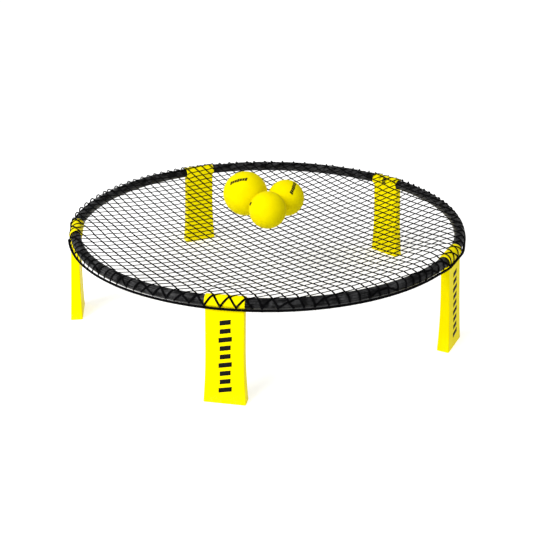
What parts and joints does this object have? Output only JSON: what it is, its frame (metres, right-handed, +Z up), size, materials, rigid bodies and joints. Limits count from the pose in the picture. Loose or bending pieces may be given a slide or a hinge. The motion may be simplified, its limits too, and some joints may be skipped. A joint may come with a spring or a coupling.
{
  "type": "roundnet set",
  "caption": "Low round net stretched over a tubular ring on fold-in legs with collars, pulled down by a perimeter cord, with inflatable balls resting on the net.",
  "frame": {"origin": "on the ground, under the centre of the rim", "axes": "+Z up; leg_1 stands at -Y and the legs are numbered anticlockwise seen from above"},
  "size_m": [0.9124, 0.9219, 0.2889],
  "materials": {
    "rim_plastic": "satin",
    "ferrule_plastic": "matte",
    "leg_plastic": "satin",
    "net_nylon": "matte",
    "cord_nylon": "matte",
    "ball_rubber": "satin",
    "valve_rubber": "matte"
  },
  "bodies": {
    "rim": {"rim_tube_1": "rim_plastic", "rim_tube_2": "rim_plastic", "rim_tube_3": "rim_plastic", "rim_tube_4": "rim_plastic", "rim_tube_5": "rim_plastic", "rim_ferrule_1": "ferrule_plastic", "rim_ferrule_2": "ferrule_plastic", "rim_ferrule_3": "ferrule_plastic", "rim_ferrule_4": "ferrule_plastic", "rim_ferrule_5": "ferrule_plastic"},
    "leg_1": {"leg_1": "leg_plastic"},
    "leg_2": {"leg_2": "leg_plastic"},
    "leg_3": {"leg_3": "leg_plastic"},
    "leg_4": {"leg_4": "leg_plastic"},
    "leg_5": {"leg_5": "leg_plastic"},
    "net": {"net_field": "net_nylon", "net_edge": "net_nylon", "perimeter_cord": "cord_nylon"},
    "ball_large": {"ball_large": "ball_rubber", "ball_large_valve": "valve_rubber"},
    "ball_small_1": {"ball_small_1": "ball_rubber", "ball_small_1_valve": "valve_rubber"},
    "ball_small_2": {"ball_small_2": "ball_rubber", "ball_small_2_valve": "valve_rubber"}
  },
  "joints": [
    {"name": "leg_1_fold", "type": "hinge", "parent": "rim", "child": "leg_1", "pos_m": [0, -0.4371, 0.206], "axis": [1, 0, 0], "range_deg": [0, 80]},
    {"name": "leg_2_fold", "type": "hinge", "parent": "rim", "child": "leg_2", "pos_m": [0.41571, -0.13507, 0.206], "axis": [0.309, 0.9511, 0], "range_deg": [0, 80]},
    {"name": "leg_3_fold", "type": "hinge", "parent": "rim", "child": "leg_3", "pos_m": [0.25692, 0.35362, 0.206], "axis": [-0.809, 0.5878, 0], "range_deg": [0, 80]},
    {"name": "leg_4_fold", "type": "hinge", "parent": "rim", "child": "leg_4", "pos_m": [-0.25692, 0.35362, 0.206], "axis": [-0.809, -0.5878, 0], "range_deg": [0, 80]},
    {"name": "leg_5_fold", "type": "hinge", "parent": "rim", "child": "leg_5", "pos_m": [-0.41571, -0.13507, 0.206], "axis": [0.309, -0.9511, 0], "range_deg": [0, 80]},
    {"name": "net_lift", "type": "slide", "parent": "rim", "child": "net", "axis": [0, 0, 1], "range_m": [0, 0.15]},
    {"name": "ball_large_lift", "type": "slide", "parent": "net", "child": "ball_large", "axis": [0, 0, 1], "range_m": [0, 0.2]},
    {"name": "ball_small_1_lift", "type": "slide", "parent": "net", "child": "ball_small_1", "axis": [0, 0, 1], "range_m": [0, 0.2]},
    {"name": "ball_small_2_lift", "type": "slide", "parent": "net", "child": "ball_small_2", "axis": [0, 0, 1], "range_m": [0, 0.2]}
  ]
}
